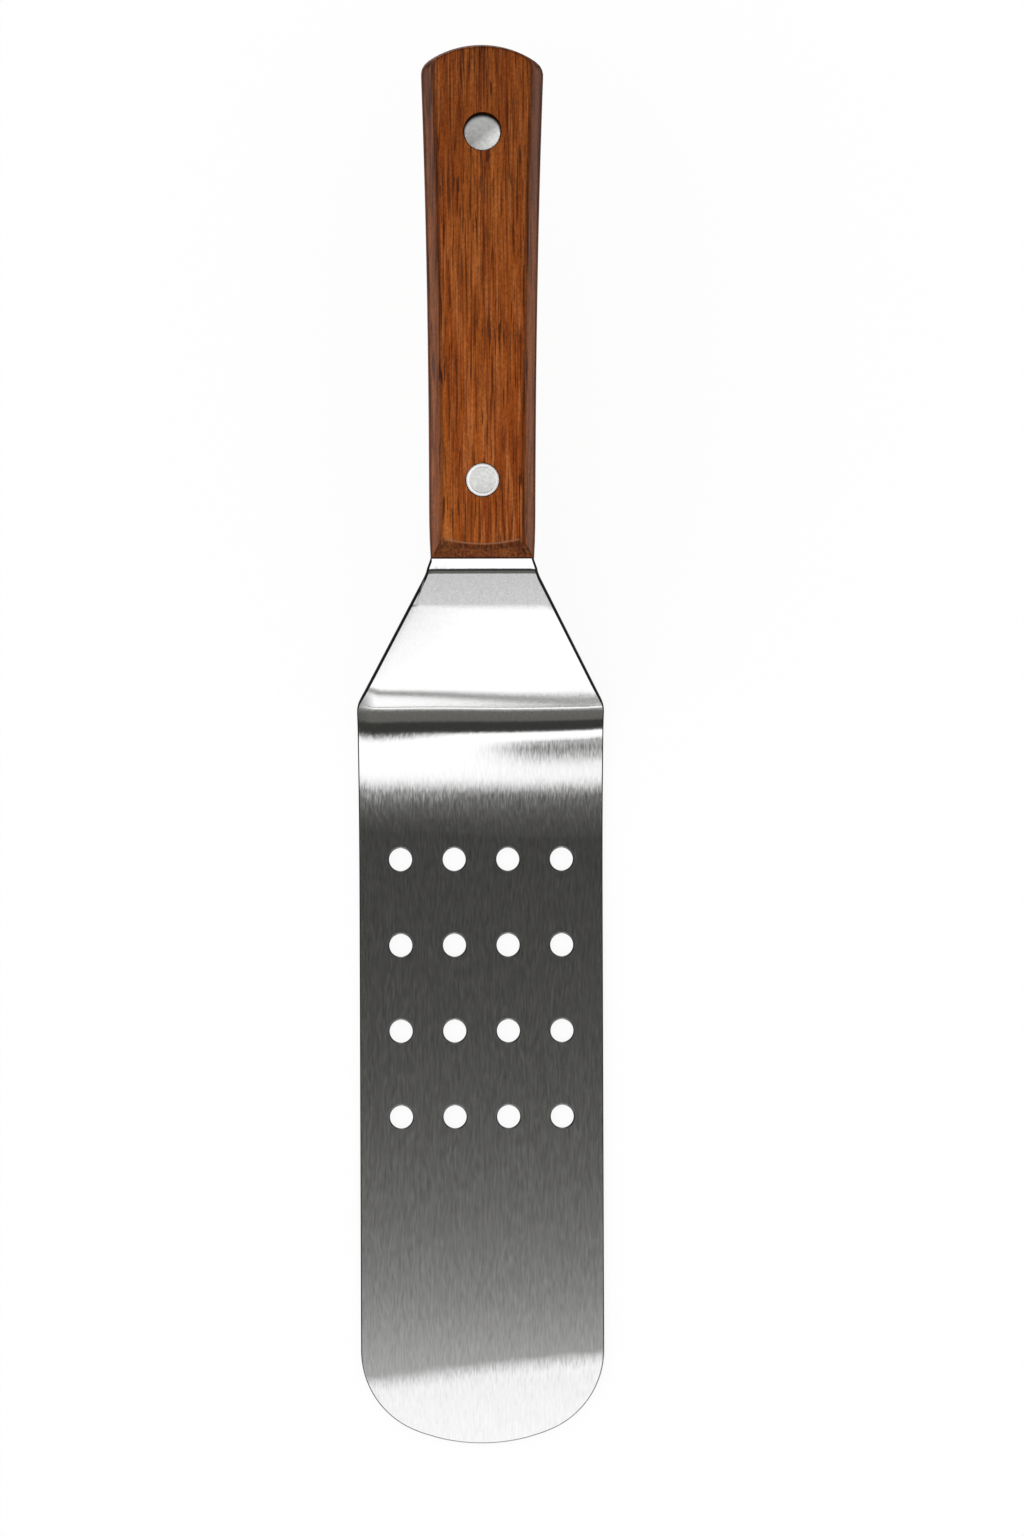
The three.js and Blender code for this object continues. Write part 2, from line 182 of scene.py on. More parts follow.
def brushedStainless():
    look = steelLook
    material, tree, shader, _ = newMaterial("brushed stainless steel")
    normal = addNode(tree, "ShaderNodeNewGeometry").outputs["Normal"]
    facing = addNode(tree, "ShaderNodeSeparateXYZ", {0: normal})
    sideways, slope, upright = [addNode(tree, "ShaderNodeMath", {0: facing.outputs[axis]},
                                        operation="ABSOLUTE").outputs[0] for axis in "XYZ"]
    place = addNode(tree, "ShaderNodeTexCoord").outputs["Object"]
    along = addNode(tree, "ShaderNodeSeparateXYZ", {0: place}).outputs["Y"]

    # the scratches lean the surface to and fro along the blade
    bent = setRamp(addNode(tree, "ShaderNodeValToRGB", {"Fac": slope}), look["leanBent"])
    for index, (size, most) in enumerate(look["scratches"]):
        coords = grainCoords(tree, *size, shift=7.0 * index)
        noise = addNode(tree, "ShaderNodeTexNoise", {"Vector": coords, "Scale": 1.0, "Detail": 2.0})
        lean = addNode(tree, "ShaderNodeMapRange",
                       {"Value": noise.outputs["Fac"], "To Min": -most, "To Max": most})
        lean = addNode(tree, "ShaderNodeMath", {0: lean.outputs[0], 1: bent.outputs[0]}, operation="MULTIPLY")
        push = addNode(tree, "ShaderNodeCombineXYZ", {"Y": lean.outputs[0]})
        normal = addNode(tree, "ShaderNodeVectorMath", {0: normal, 1: push.outputs[0]},
                         operation="ADD").outputs[0]
    normal = addNode(tree, "ShaderNodeVectorMath", {0: normal}, operation="NORMALIZE").outputs[0]

    # dull edges, painted near black as a painted dark reflection
    front, side = [addNode(tree, "ShaderNodeMapRange", {"Value": value, **between(look[key], 1)})
                   for value, key in ((upright, "frontEdge"), (sideways, "sideEdge"))]
    edge = addNode(tree, "ShaderNodeMath", {0: front.outputs[0], 1: side.outputs[0]}, operation="MAXIMUM")
    ground = addNode(tree, "ShaderNodeMapRange",
                     {"Value": along, **between(look["tipEdgeMm"]), "To Min": look["tipEdge"]})
    edge = addNode(tree, "ShaderNodeMath", {0: edge.outputs[0], 1: ground.outputs[0]}, operation="MULTIPLY")
    # the edge mask paints the edges near black, a painted dark reflection, and makes them rougher
    colour = addNode(tree, "ShaderNodeMix", {"Factor": edge.outputs[0], 6: linear(look["colour"]),
                                             7: linear(look["edgeShadeColour"])}, data_type="RGBA")

    # streaks of tone, faint at the tip, which is rubbed smoother
    coords = grainCoords(tree, *look["toneMm"], shift=19.0)
    streak = addNode(tree, "ShaderNodeTexNoise", {"Vector": coords, "Scale": 1.0, "Detail": 3.0})
    streak = streak.outputs["Fac"]
    shade = addNode(tree, "ShaderNodeMapRange",
                    {"Value": streak, **between(look["noiseSpan"], 1), "To Min": -1.0})
    swing = addNode(tree, "ShaderNodeMapRange",
                    {"Value": along, **between(look["toneFromMm"]), "To Min": look["tone"][0],
                     "To Max": look["tone"][1]})
    toned = setRamp(addNode(tree, "ShaderNodeValToRGB", {"Fac": slope}), look["toneBent"])
    swing = addNode(tree, "ShaderNodeMath", {0: swing.outputs[0], 1: toned.outputs[0]}, operation="MULTIPLY")
    level = addNode(tree, "ShaderNodeMapRange",
                    {"Value": along, **between(look["tipToneMm"]), "To Min": look["tipTone"]})
    shade = addNode(tree, "ShaderNodeMath", {0: shade.outputs[0], 1: swing.outputs[0], 2: level.outputs[0]},
                    operation="MULTIPLY_ADD")
    colour = addNode(tree, "ShaderNodeMix", {"Factor": 1.0, 6: colour.outputs[2], 7: shade.outputs[0]},
                     data_type="RGBA", blend_type="MULTIPLY")
    rough = addNode(tree, "ShaderNodeMapRange", {"Value": edge.outputs[0], "To Min": look["roughness"],
                                                 "To Max": look["edgeRoughness"]})
    uneven = addNode(tree, "ShaderNodeMapRange",
                     {"Value": streak, **between(look["noiseSpan"], 1), "To Min": 1 - look["roughShare"],
                      "To Max": 1 + look["roughShare"]})
    rough = addNode(tree, "ShaderNodeMath", {0: rough.outputs[0], 1: uneven.outputs[0]}, operation="MULTIPLY")
    tangent = addNode(tree, "ShaderNodeTangent", direction_type="UV_MAP", uv_map="brush")
    shader.inputs["Metallic"].default_value = 1
    shader.inputs["Anisotropic"].default_value = look["anisotropy"]
    tree.links.new(colour.outputs[2], shader.inputs["Base Color"])
    tree.links.new(rough.outputs[0], shader.inputs["Roughness"])
    tree.links.new(tangent.outputs[0], shader.inputs["Tangent"])
    tree.links.new(normal, shader.inputs["Normal"])
    return material


# stained open-pored hardwood: warm red brown, thin dark dashes where the pores took the stain; the flat
# faces are rubbed nearly dull, the bevels keep a satin finish and are painted darker as shade
woodLook = {
    "light": "#a0561d", "middle": "#8b4311", "dark": "#76330a", "pore": "#3c1504", "fibre": "#ad6634",
    # the pale colour of a painted highlight line where the front bevel starts
    "paintedHighlight": "#c08a6c",
    # mm across and along the grain
    "bandMm": (2.6, 80), "figureMm": (7, 13), "fibreMm": (0.52, 17), "poreMm": (0.5, 9),
    "speckMm": (0.45, 0.8), "clusterMm": (2.5, 14), "poreDepthMm": 0.05,
    # the bevel colour factor darkens the sideways bevels as painted shade
    "roughness": 0.5, "specular": 0.08, "bevelShade": 0.63, "bevelRoughness": 0.4, "bevelSpecular": 0.5,
    "frontTone": 1.1, "buttTone": 0.78, "toneFromMm": (-45, 60),  # from the handle's middle
    # by how squarely the wood faces up or down: painted shade on the walls and just inside the bevels
    "facingShade": [(0.12, 0.7), (0.3, 0.35), (0.6, 0.4), (0.71, 1.0), (0.84, 1.0), (0.93, 0.45), (0.985, 0.5),
                 (0.9995, 1.0)],
    # by how squarely it faces the blade: painted shade on the front, and a painted highlight line where the
    # front bevel starts
    "aheadShade": [(0.3, 1.0), (0.45, 0.58), (0.66, 0.58), (0.82, 0.15)],
    "aheadHighlight": [(0.09, 0.0), (0.13, 0.28), (0.18, 0.28), (0.24, 0.0)], "highlightHalfMm": (9.8, 8.8),
    # the satin bevels, as (direction, where the satin starts and is full, least satin)
    "satin": [("flat", (0.97, 0.8), 0.0), ("ahead", (-0.5, -0.2), 0.0), ("ahead", (0.45, 0.3), 0.15),
              ("flat", (0.6, 0.72), 0.0)],
}


def stainedHardwood():
    look = woodLook
    material, tree, shader, output = newMaterial("stained hardwood")

    def grain(key, shift, detail, stops):  # streaks of one size along the handle
        coords = grainCoords(tree, *look[key], turn=-handleSlope, shift=shift)
        noise = addNode(tree, "ShaderNodeTexNoise", {"Vector": coords, "Scale": 1.0, "Detail": detail})
        return setRamp(addNode(tree, "ShaderNodeValToRGB", {"Fac": noise.outputs["Fac"]}), stops).outputs[0]

    flat, ahead = faceShare(tree), handleShare(tree, (0, -1, 0))
    place = addNode(tree, "ShaderNodeSeparateXYZ", {0: addNode(tree, "ShaderNodeTexCoord").outputs["Object"]})
    pore = addNode(tree, "ShaderNodeMix",
                   {"Factor": 1.0, 6: grain("clusterMm", 23, 1.0, [(0.3, 0.35), (0.6, 1.0)]),
                    7: grain("poreMm", 17, 1.0, [(0.6, 0.0), (0.66, 0.8)])},
                   data_type="RGBA", blend_type="MULTIPLY").outputs[2]
    relief = addNode(tree, "ShaderNodeBump", {"Height": pore, "Strength": 0.4,
                                              "Distance": look["poreDepthMm"] * mm}, invert=True)
    shade = addNode(tree, "ShaderNodeMapRange",
                    {"Value": place.outputs["Y"], **between(look["toneFromMm"], start=handleMiddle.y),
                     "To Min": look["frontTone"], "To Max": look["buttTone"]},
                    interpolation_type="SMOOTHSTEP")
    # painted shade on the walls and just inside the bevels
    wallShade = setRamp(addNode(tree, "ShaderNodeValToRGB", {"Fac": flat}), look["facingShade"])
    # painted shade on the front end and the front bevel
    front = setRamp(addNode(tree, "ShaderNodeValToRGB", {"Fac": ahead}), look["aheadShade"])
    # a painted highlight line where the front bevel starts, kept off the sides
    inward = addNode(tree, "ShaderNodeMath", {0: place.outputs["X"]}, operation="ABSOLUTE")
    inward = addNode(tree, "ShaderNodeMapRange",
                     {"Value": inward.outputs[0], **between(look["highlightHalfMm"])})
    paintedHighlight = setRamp(addNode(tree, "ShaderNodeValToRGB", {"Fac": ahead}), look["aheadHighlight"])
    paintedHighlight = addNode(tree, "ShaderNodeMix", {"Factor": 1.0, 6: paintedHighlight.outputs[0], 7: inward.outputs[0]},
                   data_type="RGBA", blend_type="MULTIPLY")

    tone = grain("bandMm", 5, 3.0, [(0.3, linear(look["dark"])), (0.5, linear(look["middle"])),
                                    (0.7, linear(look["light"]))])
    layers = [  # what lies over the broad bands, as (way, share, colour)
        ("MULTIPLY", 1.0, grain("figureMm", 31, 2.0, [(0.3, 0.91), (0.7, 1.09)])),
        ("MULTIPLY", 1.0, grain("fibreMm", 11, 1.0, [(0.34, 0.44), (0.5, 1.0)])),
        ("MIX", grain("fibreMm", 47, 1.0, [(0.52, 0.0), (0.68, 0.6)]), linear(look["fibre"])),
        ("MULTIPLY", 1.0, grain("speckMm", 61, 1.0, [(0.3, 0.8), (0.7, 1.2)])),
        ("MIX", pore, linear(look["pore"])),
        ("MULTIPLY", 1.0, shade.outputs[0]),
        ("MULTIPLY", 1.0, wallShade.outputs[0]),
        ("MIX", paintedHighlight.outputs[2], linear(look["paintedHighlight"])),
        ("MULTIPLY", 1.0, front.outputs[0]),
    ]
    for way, share, colour in layers:
        tone = addNode(tree, "ShaderNodeMix", {"Factor": share, 6: tone, 7: colour}, data_type="RGBA",
                       blend_type=way).outputs[2]
    satin = 1.0
    for key, limits, least in look["satin"]:
        share = addNode(tree, "ShaderNodeMapRange", {"Value": flat if key == "flat" else ahead,
                                                     **between(limits, 1), "To Min": least})
        satin = addNode(tree, "ShaderNodeMath", {0: satin, 1: share.outputs[0]},
                        operation="MULTIPLY").outputs[0]
    tree.links.new(tone, shader.inputs["Base Color"])
    tree.links.new(relief.outputs["Normal"], shader.inputs["Normal"])
    shader.inputs["Roughness"].default_value = look["roughness"]
    shader.inputs["Specular IOR Level"].default_value = look["specular"]
    # the bevels' colour is darkened as painted shade, since they face sideways
    grey = look["bevelShade"]
    bevelShaded = addNode(tree, "ShaderNodeMix", {"Factor": 1.0, 6: tone, 7: (grey, grey, grey, 1)},
                     data_type="RGBA", blend_type="MULTIPLY")
    bevel = addNode(tree, "ShaderNodeBsdfPrincipled",
                    {"Base Color": bevelShaded.outputs[2], "Roughness": look["bevelRoughness"],
                     "Specular IOR Level": look["bevelSpecular"]})
    both = addNode(tree, "ShaderNodeMixShader", {0: satin, 1: shader.outputs[0], 2: bevel.outputs[0]})
    tree.links.new(both.outputs[0], output.inputs["Surface"])
    return material


# ground aluminium rivet heads: dull pale grey, faintly mottled by the grinding, with a rim painted near white
# as a highlight
rivetLook = {
    # the near white rim colour is a painted highlight
    "light": "#e8e8e6", "dark": "#cfcfcd", "rim": "#fcfcfa", "roughness": 0.3, "rimRoughness": 0.6,
    "rimFrom": (0.995, 0.97),  # share of the face's own direction where the rim starts and is full
    "mottleMm": 0.8, "upperShade": 0.58, "upperFromMm": (-10, 10),  # the sunk upper rivet is painted darker, as shade in its recess
    # a painted shadow under the upper hole's edge, on the sunk rivet's face
    "shadowLow": 1.0, "shadowMm": (4.35, 5.1), "shadowTone": 0.03, "paintedMarkReach": 20,
    # a painted highlight on the lower right of the sunk rivet's face
    "glintGain": 2.7, "glintMm": (0.5, 4.3), "glintTowards": (0.6, -0.8),
}


def groundAluminium():
    look, upper = rivetLook, rivets["upper"]
    material, tree, shader, output = newMaterial("ground aluminium")
    coords = grainCoords(tree, look["mottleMm"], look["mottleMm"])
    mottle = addNode(tree, "ShaderNodeTexNoise", {"Vector": coords, "Scale": 1.0, "Detail": 4.0})
    tone = setRamp(addNode(tree, "ShaderNodeValToRGB", {"Fac": mottle.outputs["Fac"]}),
                   [(0.3, linear(look["dark"])), (0.7, linear(look["light"]))])
    place = addNode(tree, "ShaderNodeTexCoord").outputs["Object"]
    along = addNode(tree, "ShaderNodeSeparateXYZ", {0: place})
    # the upper rivet is painted darker, as shade in its recess
    recessShade = addNode(tree, "ShaderNodeMapRange",
                   {"Value": along.outputs["Y"], **between(look["upperFromMm"], start=handleMiddle.y),
                    "To Min": 1.0, "To Max": look["upperShade"]})
    tone = addNode(tree, "ShaderNodeMix", {"Factor": 1.0, 6: tone.outputs["Color"], 7: recessShade.outputs[0]},
                   data_type="RGBA", blend_type="MULTIPLY")
    # a painted shadow lies under the hole's upper edge, and the lower right of the sunk face has a painted
    # highlight
    middle = handleFront + handleTurn @ Vector((0, (upper["at"] - upper["low"]) * mm, 0))
    offset = addNode(tree, "ShaderNodeVectorMath", {0: place, 1: tuple(middle)},
                     operation="SUBTRACT").outputs[0]
    above = addNode(tree, "ShaderNodeVectorMath", {0: offset, 1: tuple(handleTurn @ Vector((0, 1, 0)))},
                    operation="DOT_PRODUCT").outputs["Value"]
    aside = addNode(tree, "ShaderNodeSeparateXYZ", {0: offset}).outputs["X"]
    lifted = addNode(tree, "ShaderNodeMath", {0: above, 1: look["shadowLow"] * mm}, operation="ADD")
    spot = addNode(tree, "ShaderNodeCombineXYZ", {"X": aside, "Y": lifted.outputs[0]})
    reach = addNode(tree, "ShaderNodeVectorMath", {0: spot.outputs[0]}, operation="LENGTH").outputs["Value"]
    paintedShadow = addNode(tree, "ShaderNodeMapRange",
                    {"Value": reach, **between(look["shadowMm"]), "To Min": 1.0, "To Max": look["shadowTone"]})
    right, down = look["glintTowards"]
    towards = addNode(tree, "ShaderNodeMath", {0: aside, 1: right}, operation="MULTIPLY")
    towards = addNode(tree, "ShaderNodeMath", {0: above, 1: down, 2: towards.outputs[0]},
                      operation="MULTIPLY_ADD")
    glint = addNode(tree, "ShaderNodeMapRange",
                     {"Value": towards.outputs[0], **between(look["glintMm"]), "To Min": 1.0,
                      "To Max": look["glintGain"]})
    both = addNode(tree, "ShaderNodeMath", {0: paintedShadow.outputs[0], 1: glint.outputs[0]}, operation="MULTIPLY")
    sunk = addNode(tree, "ShaderNodeMath", {0: reach, 1: look["paintedMarkReach"] * mm}, operation="LESS_THAN")
    tone = addNode(tree, "ShaderNodeMix", {"Factor": sunk.outputs[0], 6: tone.outputs[2], 7: both.outputs[0]},
                   data_type="RGBA", blend_type="MULTIPLY")
    # the rim is painted near white as a highlight, and takes the painted shadow on the upper rivet
    rimHighlight = addNode(tree, "ShaderNodeMix",
                    {"Factor": sunk.outputs[0], 6: linear(look["rim"]), 7: paintedShadow.outputs[0]},
                    data_type="RGBA", blend_type="MULTIPLY")
    shader.inputs["Metallic"].default_value = 1
    shader.inputs["Roughness"].default_value = look["roughness"]
    tree.links.new(tone.outputs[2], shader.inputs["Base Color"])
    rim = addNode(tree, "ShaderNodeBsdfPrincipled",
                  {"Base Color": rimHighlight.outputs[2], "Roughness": look["rimRoughness"]})
    turned = addNode(tree, "ShaderNodeMapRange", {"Value": faceShare(tree), **between(look["rimFrom"], 1)})
    both = addNode(tree, "ShaderNodeMixShader",
                   {0: turned.outputs[0], 1: shader.outputs[0], 2: rim.outputs[0]})
    tree.links.new(both.outputs[0], output.inputs["Surface"])
    return material


# turned shapes: a disc whose rim is extruded from ring to ring
def turnProfile(name, profile, sides=64):
    startFresh()
    radius, height = profile[0]
    bpy.ops.mesh.primitive_circle_add(vertices=sides, radius=radius * mm, fill_type="NGON",
                                      location=(0, 0, height * mm))
    piece = bpy.context.object
    piece.name = name
    bpy.ops.object.transform_apply(location=True)
    editMode("EDGE")
    bpy.ops.mesh.select_all(action="SELECT")
    bpy.ops.mesh.region_to_loop()
    for nextRadius, nextHeight in profile[1:]:
        bpy.ops.mesh.extrude_region_move(
            TRANSFORM_OT_translate={"value": (0, 0, (nextHeight - height) * mm)})
        share = nextRadius / radius
        bpy.ops.transform.resize(value=(share, share, 1), center_override=(0, 0, nextHeight * mm))
        radius, height = nextRadius, nextHeight
    bpy.ops.mesh.edge_face_add()
    bpy.ops.mesh.select_all(action="SELECT")
    bpy.ops.mesh.normals_make_consistent(inside=False)
    bpy.ops.object.mode_set(mode="OBJECT")
    return piece


# blade: one sheet, laid out from its tip edge by extruding that edge along the side view
blade = {
    "thickness": 1.5, "width": 63.5, "tipRadius": 46.5, "cornerRadius": 22.7,
    "spread": 0.35, "spreadFrom": 140,  # the sheet widens a little where it is folded
    # (length, turn, steps) along the underside, as (left edge, right edge) pairs: the press left it uneven
    "heel": [((1.5, 1.5), (0.8, 0.9), 3), ((10.0, 10.0), (2.75, 1.8), 9), ((4.2, 5.2), (2.1, 2.4), 5),
             ((3.8, 2.2), (0.9, 0.2), 3), ((4.0, 5.4), (2.0, -1.75), 6), ((0.6, 2.4), (0.6, 0.6), 4),
             ((2.8, 1.6), (2.9, 3.1), 6)],
    "dent": (0.13, 0.76),  # the heel is pressed flatter on the right, over these shares of the width
    "bendRadius": (18, 15.2), "bendTop": 36.0, "foldRadius": 9.0, "foldTop": (43.4, 41.7),
    "foldCurl": (4.2, 2.0), "foldLength": (2.9, 0.8), "relaxLength": 4.6, "neckSlope": (37.6, 40.0),
    "creaseLength": 9.2, "creaseSlope": 37, "creaseRadius": 80, "upperRadius": 1.9, "stub": 2.9,
    "shoulderAt": 193.3, "shoulderRound": 0.9, "throatAt": 3.0, "throatRound": 1.2, "throatWidth": 27.5,
    "throatTaper": 0.27, "tangInset": 0.15, "tangInsetOver": 6, "tangShort": 0.05,  # just inside the wood
    # how finely the sheet is laid out
    "columns": 16, "tipReach": 32, "tipSteps": 44, "flatStops": (0.4, 0.8, 0.88, 0.94, 1.0),
    "stationMm": 1.5, "tangSteps": 30, "bendSteps": 16,
    "cleanFaces": [(10, 0.25), (500, 0.03)],  # (distance from the tip, degrees within which faces are joined)
    # the edge is ground thin from a bowed line: its distance from the tip, slant and bow across the blade
    "grindAt": 21.6, "grindSlant": 0.115, "grindBow": -0.0005, "grindTilt": 1.5, "grindSoft": 5.0,
    "holeDiameter": 6.0, "columnPitch": 14.0, "rowPitch": 22.4, "firstRow": 85.4,
    "holeSides": 48, "rivetSides": 32, "overrun": 5,
    "edgeRound": 0.62, "bladeShare": 0.54, "tangShare": 0.3,  # the neck's edges are rounded most
    "neckShareFrom": (-2, 4), "sharpAngle": 40,
}
handle = {
    "length": 128.2, "frontWidth": 26.8, "buttWidth": 30.9, "flarePower": 2.4,
    "crownRadius": 24.5, "buttRound": 2.5, "middleAt": 64,
    "sideBevel": 2.8, "frontBevel": 3.6, "buttRim": 0.4, "bevelDepth": 2.6,
    "edgeRound": 1.1, "glueLine": 0.3, "smile": 1.6, "pinch": 0.3, "pinchFrom": 11,
    "frontSteps": 8, "sideSteps": 16, "crownSteps": 40, "roundSteps": 8,
}


def softMin(a, b, reach):
    overlap = max(reach - abs(a - b), 0)
    return min(a, b) - overlap * overlap / (4 * reach)


def gripHalf(along, sideInset=0.0, buttInset=0.0):  # half the handle's width, from its front end
    size = handle
    flare = (size["buttWidth"] - size["frontWidth"]) / 2
    side = size["frontWidth"] / 2 + flare * (max(along, 0) / size["length"]) ** size["flarePower"] - sideInset
    side -= size["pinch"] * max(1 - max(along, 0) / size["pinchFrom"], 0) ** 2  # drawn in at the front
    past = max(along - (size["length"] - size["crownRadius"]), 0)
    crown = math.sqrt(max((size["crownRadius"] - buttInset) ** 2 - past ** 2, 0))
    return max(softMin(side, crown, size["buttRound"]), 0)


handleFront = handleMiddle - handleTurn @ Vector((0, handle["middleAt"] * mm, 0))  # the wood's front end
neckRun = len(blade["heel"]) + 5  # its place in the list of runs


def sheetRuns(side):
    # [length, turn, steps] runs of the underside for one line from tip to butt, side from 0 (left) to 1
    # (right); the flat and the neck are as long as the handle's place asks
    size = blade
    dent = min(max((side - size["dent"][0]) / (size["dent"][1] - size["dent"][0]), 0), 1)
    dent = dent * dent * (3 - 2 * dent)

    def pick(pair, share=side):
        return pair[0] + (pair[1] - pair[0]) * share

    runs = [[0, 0, 1]]
    slope = 0.0
    for length, turn, steps in size["heel"]:
        runs.append([pick(length), math.radians(pick(turn, dent)), steps])
        slope += math.radians(pick(turn, dent))
    neck, crease = math.radians(pick(size["neckSlope"])), math.radians(size["creaseSlope"])
    curl = sum(part * max(1 - size["columns"] * reach, 0)  # only at the two ends of the fold
               for part, reach in zip(size["foldCurl"], (side, 1 - side)))
    bendTop, foldTop = math.radians(size["bendTop"]), math.radians(pick(size["foldTop"]) + curl)
    runs.append([pick(size["bendRadius"]) * (bendTop - slope), bendTop - slope, size["bendSteps"]])
    runs.append([size["foldRadius"] * (foldTop - bendTop), foldTop - bendTop, 4])
    runs.append([pick(size["foldLength"]), 0, 3])
    runs.append([size["relaxLength"], neck - foldTop, 5])
    runs.append([0, 0, 1])
    runs.append([size["creaseRadius"] * (neck - crease), crease - neck, 6])
    runs.append([size["creaseLength"], 0, 3])
    runs.append([size["upperRadius"] * (crease - handleSlope), handleSlope - crease, 7])
    runs.append([size["stub"], 0, 2])
    below = handleTurn @ Vector((0, 0, -size["thickness"] / 2 * mm))
    goal = (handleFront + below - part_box("blade")[0]) / mm
    y = z = slope = 0.0
    for length, turn, _ in runs:
        y, z, slope = follow(y, z, slope, length, turn)
    runs[neckRun][0] = (goal.z - z) / math.sin(neck)
    runs[0][0] = goal.y - y - runs[neckRun][0] * math.cos(neck)
    runs.append([handle["length"] - size["tangShort"], 0, 1])
    return runs


def follow(y, z, slope, length, turn):  # the far end of one run
    chord = length if turn == 0 else 2 * length / turn * math.sin(turn / 2)
    middle = slope + turn / 2
    return y + chord * math.cos(middle), z + chord * math.sin(middle), slope + turn


def tipHalf(along):
    size = blade
    half, wide, corner = size["width"] / 2, size["tipRadius"], size["cornerRadius"]
    side = half - corner
    depth = wide - math.sqrt((wide - corner) ** 2 - side ** 2)
    join = wide - wide * (wide - depth) / (wide - corner)
    if along >= depth:
        return half
    if along < join:
        return math.sqrt(wide ** 2 - (wide - along) ** 2)
    return side + math.sqrt(corner ** 2 - (depth - along) ** 2)


def makeBlade():
    size = blade
    lines = [sheetRuns(column / size["columns"]) for column in range(size["columns"] + 1)]
    runs = lines[size["columns"] // 2]
    frontAt = (handleFront.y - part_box("blade")[0].y) / mm
    throat = frontAt - size["throatAt"] * math.cos(handleSlope)

    def half(y, pastFront):  # half the sheet's width at a distance from the tip
        if pastFront > 0:
            return gripHalf(pastFront) - size["tangInset"] * (1 + min(pastFront / size["tangInsetOver"], 1))
        spread = min(max(y - size["spreadFrom"], 0) / (size["shoulderAt"] - size["spreadFrom"]), 1)
        wide = tipHalf(y) + size["spread"] * spread * spread
        neck = size["throatWidth"] / 2
        taper = wide + (neck - wide) * (y - size["shoulderAt"]) / (throat - size["shoulderAt"])
        neck -= size["throatTaper"] * max(y - throat, 0)
        return softMin(wide, -softMin(-taper, -neck, size["throatRound"]), size["shoulderRound"])

    # stations as (run, share of that run)
    turns = [math.radians(90 * step / size["tipSteps"]) for step in range(1, size["tipSteps"] + 1)]
    stations = [(0, size["tipReach"] * (1 - math.cos(turn)) / runs[0][0]) for turn in turns]
    stations += [(0, share) for share in size["flatStops"]]
    for index, run in enumerate(runs[1:-1], 1):
        count = max(run[2], int(run[0] / size["stationMm"]))
        stations += [(index, step / count) for step in range(1, count + 1)]
    turns = [math.radians(90 * step / size["tangSteps"]) for step in range(1, size["tangSteps"] + 1)]
    stations += [(len(runs) - 1, math.sin(turn)) for turn in turns]

    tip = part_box("blade")[0]

    def chain(index, share):  # the sheet's points from left to right at one station
        pastFront = runs[index][0] * share if index == len(runs) - 1 else 0
        points = []
        for column, line in enumerate(lines):
            y = z = slope = 0.0
            for length, turn, _ in line[:index]:
                y, z, slope = follow(y, z, slope, length, turn)
            y, z, slope = follow(y, z, slope, line[index][0] * share, line[index][1] * share)
            x = half(y, pastFront) * (2 * column / size["columns"] - 1)
            points.append(Vector((x * mm, tip.y + y * mm, z * mm)))
        return points

    startFresh()
    bpy.ops.mesh.primitive_plane_add(size=2 * mm, location=(0, tip.y, 0))
    piece = bpy.context.object
    piece.name = "turner_blade"
    bpy.ops.object.transform_apply(location=True)
    pickVerts(piece, lambda co: co.y < tip.y)
    bpy.ops.mesh.delete(type="VERT")
    bpy.ops.mesh.select_all(action="SELECT")
    bpy.ops.mesh.subdivide(number_cuts=size["columns"] - 1)
    bpy.ops.object.mode_set(mode="OBJECT")
    order = sorted(range(len(piece.data.vertices)), key=lambda index: piece.data.vertices[index].co.x)
    for index, spot in zip(order, chain(*stations[0])):
        piece.data.vertices[index].co = spot
    for station in stations[1:]:
        count = len(piece.data.vertices)
        editMode("EDGE")
        bpy.ops.mesh.extrude_region_move(TRANSFORM_OT_translate={"value": (0, mm, 0)})
        bpy.ops.object.mode_set(mode="OBJECT")
        fresh = range(count, len(piece.data.vertices))
        fresh = sorted(fresh, key=lambda index: piece.data.vertices[index].co.x)
        for index, spot in zip(fresh, chain(*station)):
            piece.data.vertices[index].co = spot
    editMode("FACE")
    bpy.ops.mesh.select_all(action="SELECT")
    bpy.ops.mesh.normals_make_consistent(inside=False)
    bpy.ops.object.mode_set(mode="OBJECT")
    if piece.data.polygons[0].normal.z < 0:
        piece.data.flip_normals()
    useModifier(piece, "SOLIDIFY", thickness=size["thickness"] * mm, offset=1, use_even_offset=True)
    print("sheet laid out,", len(stations), "stations, flat and neck",
          [[round(line[0][0], 1), round(line[neckRun][0], 1)] for line in (lines[0], runs, lines[-1])])

    # the front edge is ground thin
    drop, soft = math.tan(math.radians(size["grindTilt"])), size["grindSoft"]
    for vertex in piece.data.vertices:
        across, along, up = vertex.co.x / mm, (vertex.co.y - tip.y) / mm, vertex.co.z / mm
        reach = size["grindAt"] + size["grindSlant"] * across + size["grindBow"] * across ** 2 - along
        if reach > 0 and up > 0.5 * size["thickness"]:
            depth = reach * reach / (2 * soft) if reach < soft else reach - soft / 2
            vertex.co.z -= depth * drop * mm
    # the flat part becomes one clean face above and below, the tip too
    for reach, angle in size["cleanFaces"]:
        editMode("FACE")
        bpy.ops.mesh.select_all(action="DESELECT")
        bpy.ops.object.mode_set(mode="OBJECT")
        for face in piece.data.polygons:
            face.select = face.center.y - tip.y < reach * mm
        editMode("FACE")
        bpy.ops.mesh.dissolve_limited(angle_limit=math.radians(angle))
        bpy.ops.object.mode_set(mode="OBJECT")

